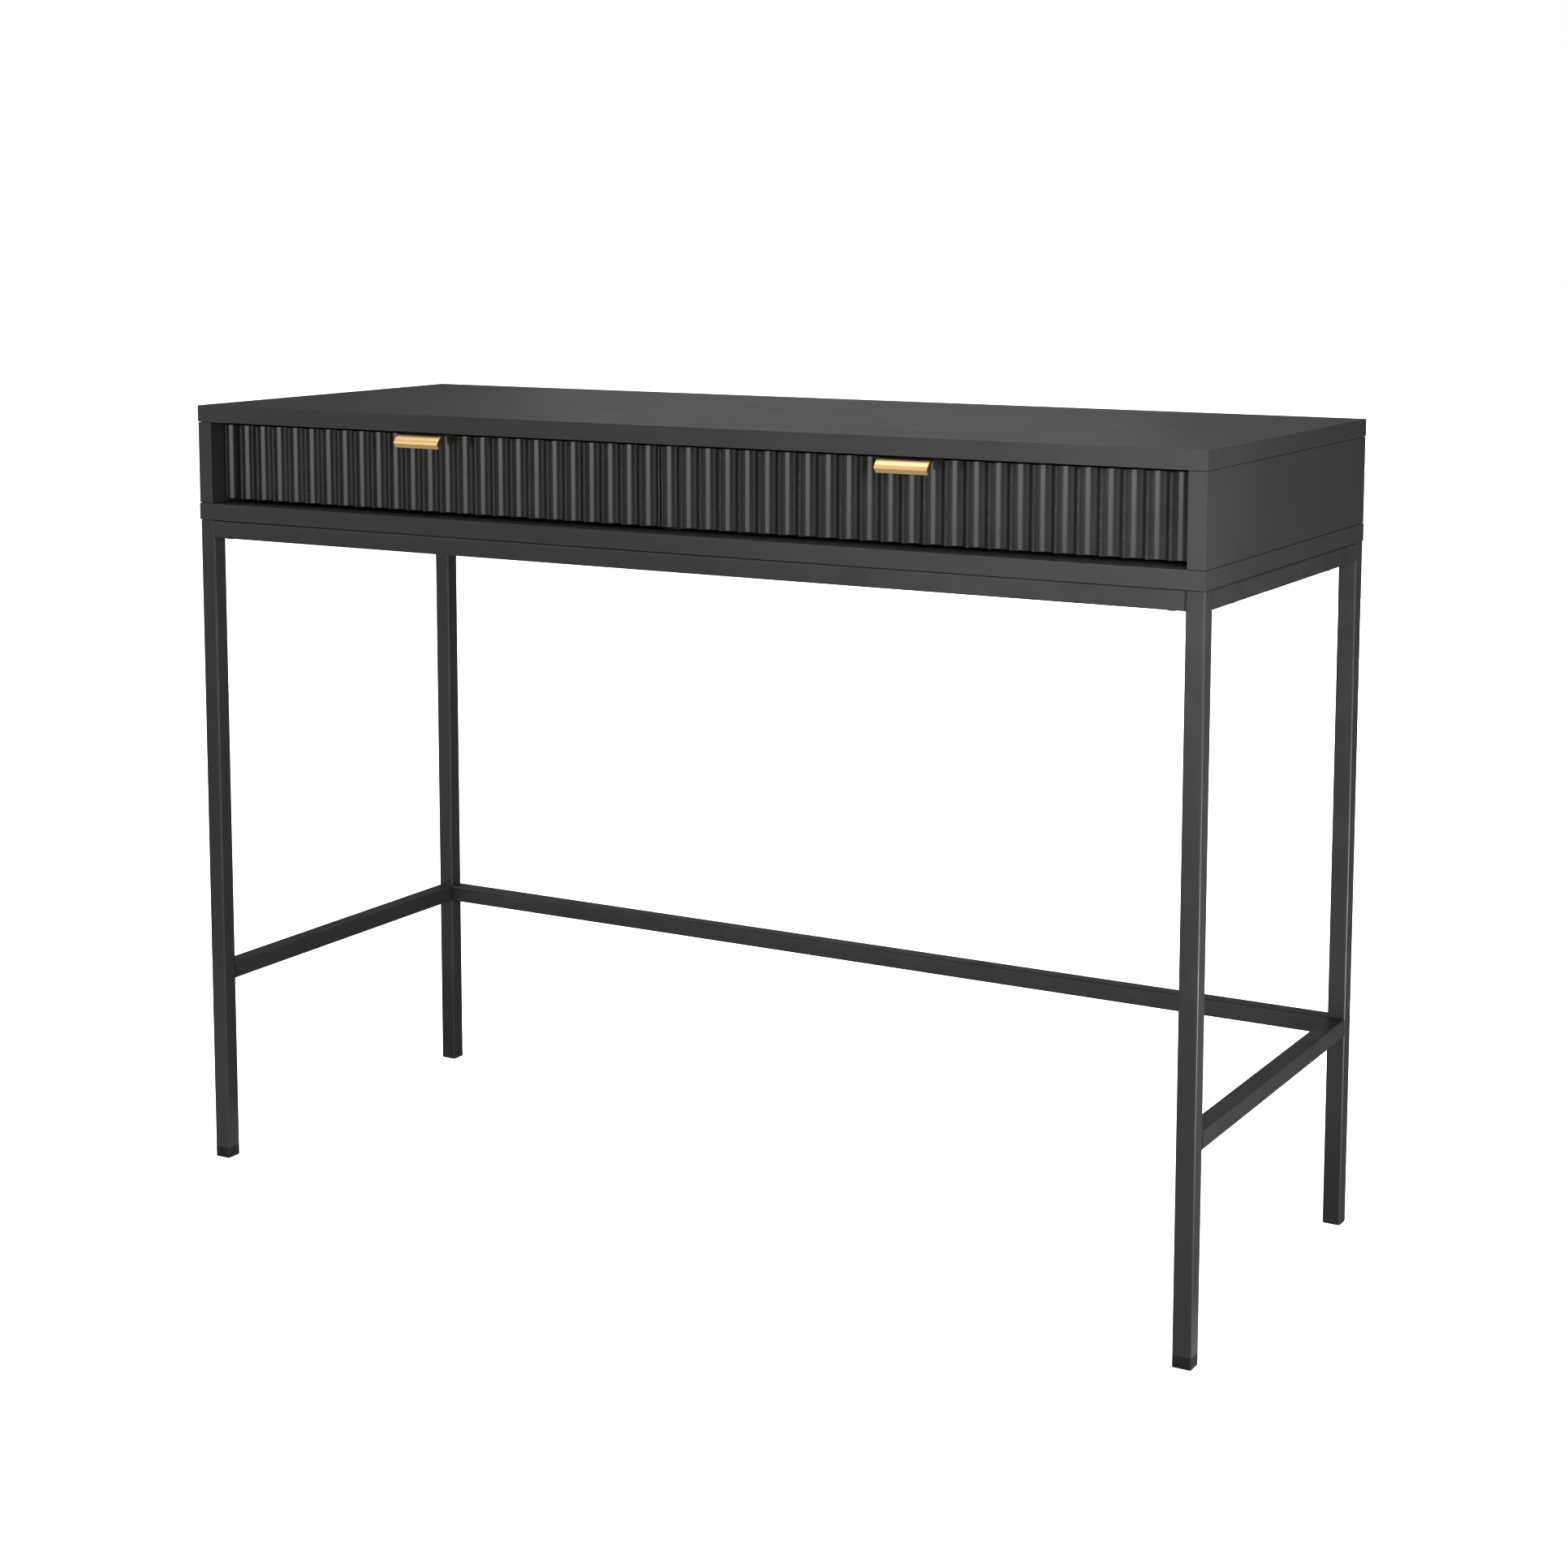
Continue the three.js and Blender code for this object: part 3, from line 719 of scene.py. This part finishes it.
# ---- Pulls ----
def pull_outline(low, high):
    """The pull's side view as (y, z), and the places of the lip's nose and of its lowest edge in it."""
    edge_y = low.y + PULL_REACH
    over = high.z
    under = over - PULL_STRIP
    tip = math.pi - math.asin((PULL_OUTER_BEND - PULL_DROP) / PULL_OUTER_BEND)
    outer_centre = (low.y - PULL_OUTER_BEND * math.cos(tip), over - PULL_OUTER_BEND)
    inner_centre = (edge_y + PULL_INNER_BEHIND, under - PULL_INNER_BEND)
    outline = [(high.y, low.z), (high.y, over)]
    outline += arc(outer_centre, PULL_OUTER_BEND, math.pi / 2, tip, 16)
    nose = len(outline) - 1
    outline.append((edge_y + PULL_LIP_END[0], over - PULL_LIP_END[1]))
    outline += arc(inner_centre, PULL_INNER_BEND, PULL_INNER_END, math.pi / 2, 14)
    outline += [(high.y - PULL_STRIP, under), (high.y - PULL_STRIP, low.z)]
    return outline, (nose, nose + 1)


def near_point(vert, point):
    return abs(vert.co.y - point[0]) < SAME_PLACE and abs(vert.co.z - point[1]) < SAME_PLACE


def pull(side):
    """The edge pull inside its CAD box, with fine bends, round lower corners and soft arrises."""
    node = side + "_drawer_pull"
    low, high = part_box(node)
    outline, lip = pull_outline(low, high)
    bm = bmesh.new()
    extrude_outline(bm, outline, 0, low.x, high.x)
    lip_points = [outline[i] for i in lip]
    corners = [
        e for e in bm.edges
        if abs(e.verts[0].co.x - e.verts[1].co.x) < SAME_PLACE
        and all(any(near_point(v, p) for v in e.verts) for p in lip_points)
    ]
    # The lip's rounded corners take the second material, with its painted highlight.
    bmesh.ops.bevel(
        bm, geom=corners, offset=PULL_CORNER, offset_type="OFFSET", segments=5,
        profile=0.5, affect="EDGES", clamp_overlap=True, material=1,
    )
    round_edges(bm, PULL_ROUND, above=math.radians(35))
    finish_piece(bm, node + "_looks", "brass_pull", node)


# ---- Drawer boxes ----
def box_side(side, wall):
    """A drawer side with the groove that holds the bottom."""
    node = f"{side}_drawer_{wall}_side"
    low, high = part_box(node)
    bottom_low, bottom_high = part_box(side + "_drawer_bottom")
    inward_is_right = middle(low, high).x < middle(bottom_low, bottom_high).x
    inner, outer = (high.x, low.x) if inward_is_right else (low.x, high.x)
    groove_x = inner + (-GROOVE_DEPTH if inward_is_right else GROOVE_DEPTH)
    groove_low, groove_high = bottom_low.z - GROOVE_PLAY, bottom_high.z + GROOVE_PLAY
    outline = [
        (outer, low.z), (inner, low.z), (inner, groove_low), (groove_x, groove_low),
        (groove_x, groove_high), (inner, groove_high), (inner, high.z), (outer, high.z),
    ]
    bm = bmesh.new()
    extrude_outline(bm, outline, 1, low.y, high.y)
    round_edges(bm, BOX_SIDE_ROUND, segments=2)
    finish_piece(bm, node + "_looks", "box_board", node)


# ---- Slides ----
def slide_member(node):
    """A rolled channel: the CAD section with rounded bends."""
    low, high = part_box(node)
    facing = slide_facing(node)
    web, reach = (low.x, high.x) if facing > 0 else (high.x, low.x)
    inside = web + facing * SLIDE_STRIP
    floor_z, roof_z = low.z + SLIDE_STRIP, high.z - SLIDE_STRIP
    outline = [
        (web, low.z), (reach, low.z), (reach, floor_z), (inside, floor_z),
        (inside, roof_z), (reach, roof_z), (reach, high.z), (web, high.z),
    ]
    bm = bmesh.new()
    extrude_outline(bm, outline, 1, low.y, high.y)
    round_edges(bm, SLIDE_BEND)
    finish_piece(bm, node + "_looks", "slide_steel", node)


def slide_facing(node):
    """The sign of X from a channel's web to its open side."""
    side, wall = node.split("_")[:2]
    to_drawer = 1 if (side == "left") == (wall == "outer") else -1
    return -to_drawer if node.endswith("drawer_member") else to_drawer


# ---- Screws ----
# shank radius, head height, width across the socket's flats
PULL_SCREW = (1.7 * MM, 2.0 * MM, 2.5 * MM)
BAR_SCREW = (2.5 * MM, 1.2 * MM, 3.0 * MM)
PANEL_SCREW = (2.0 * MM, 2.2 * MM, 2.5 * MM)
SCREW_SIDES = 36
SOCKET_DEPTH = 0.6  # shares of the head's height, as are the next two
DOME_LOW = 0.35
RIM_HEIGHT = 0.12
SOCKET_RIM = 1.16  # radius of the rim round the socket, for a half-width across flats of 1
RIM_ROUND = 0.1 * MM
THREAD_PITCH = 1.25 * MM
THREAD_DEPTH = 0.35 * MM
THREAD_FLANK = 0.35  # share of the pitch
TIP_TAPER = 1.6  # length of the pointed end, in shank radii
TIP_RADIUS = 0.25  # share of the shank's radius


def hexagon_radius(flats, angle):
    """How far a hexagon's side is from its middle, at an angle."""
    sector = math.pi / 3
    return flats / 2 / math.cos((angle % sector) - sector / 2)


def screw_rings(head_radius, length, shank, head, flats):
    """(radius or None for the hexagon, height) from the socket's floor, over the head, to the tip."""
    socket = flats / 2 * SOCKET_RIM
    turns = [i * math.pi / 16 for i in range(9)]
    dome = [
        (socket + (head_radius - socket) * math.sin(t), head * (DOME_LOW + (1 - DOME_LOW) * math.cos(t)))
        for t in turns
    ]
    rings = [(None, head * (1 - SOCKET_DEPTH)), (None, head * 0.98)]
    rings += dome
    rings += [(head_radius, RIM_HEIGHT * head), (head_radius - RIM_ROUND, 0.0), (shank, 0.0)]
    z = -1.5 * THREAD_PITCH
    tip = -(length - head)
    while z - THREAD_PITCH > tip + TIP_TAPER * shank:
        rings += [(shank, z), (shank - THREAD_DEPTH, z - THREAD_FLANK * THREAD_PITCH)]
        rings += [(shank - THREAD_DEPTH, z - (1 - THREAD_FLANK) * THREAD_PITCH)]
        z -= THREAD_PITCH
    rings += [(shank, z), (shank * TIP_RADIUS, tip)]
    return rings


def screw(node, kind, body_up):
    """A button-head socket screw. body_up is the matrix that turns its head's +Z into place."""
    shank, head, flats = kind
    low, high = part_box(node)
    spans = body_up.inverted() @ (high - low)
    length, head_radius = abs(spans.z), abs(spans.x) / 2
    bm = bmesh.new()
    rings = []
    for radius, z in screw_rings(head_radius, length, shank, head, flats):
        ring = []
        for i in range(SCREW_SIDES):
            angle = 2 * math.pi * i / SCREW_SIDES
            r = hexagon_radius(flats, angle) if radius is None else radius
            ring.append(bm.verts.new((r * math.cos(angle), r * math.sin(angle), z)))
        rings.append(ring)
    for a, b in zip(rings, rings[1:]):
        for i in range(SCREW_SIDES):
            j = (i + 1) % SCREW_SIDES
            bm.faces.new((a[i], b[i], b[j], a[j]))
    bm.faces.new(rings[0])
    bm.faces.new(rings[-1])
    centre = middle(low, high) - body_up @ Vector((0, 0, head - length / 2))
    bm.transform(Matrix.Translation(centre) @ body_up.to_4x4())
    finish_piece(bm, node + "_looks", "zinc_steel", node)


HEAD_DOWN = Matrix.Rotation(math.pi, 3, "X")
HEAD_BACK = Matrix.Rotation(-math.pi / 2, 3, "X")


# ---- The desk ----
make_camera()
floor = make_floor()
make_world()
for softbox in SOFTBOXES:
    make_softbox(*softbox)
make_floor_light(floor)

for level in ("top", "bottom", "left_side", "right_side", "back"):
    board(level + "_panel")
board("centre_partition")

CROSSBARS = {"front": ("front_top_rail",), "rear": ("rear_top_rail", "rear_stretcher")}
for side in ("left", "right"):
    for end in ("front", "rear"):
        leg(end, side, CROSSBARS[end])
        foot_cap(end, side)
    tube(side + "_top_rail", 1)
    tube(side + "_stretcher", 1)
    drawer_front(side)
    pull(side)
    box_side(side, "outer")
    box_side(side, "inner")
    board(side + "_drawer_back", "box_board")
    board(side + "_drawer_bottom", "box_board", BOX_BOTTOM_ROUND)
    for wall in ("outer", "inner"):
        for member in ("cabinet", "middle", "drawer"):
            slide_member(f"{side}_{wall}_slide_{member}_member")
for bar in ("front_top_rail", "rear_top_rail", "rear_stretcher"):
    tube(bar, 0)

for name in frame["nodes"]:
    if "_pull_screw_" in name:
        screw(name, PULL_SCREW, HEAD_BACK)
    elif name.endswith("_carcass_screw"):
        screw(name, PANEL_SCREW, HEAD_DOWN)
    elif "_screw_" in name:
        screw(name, BAR_SCREW, HEAD_DOWN)

bpy.context.scene.view_settings.view_transform = "Standard"
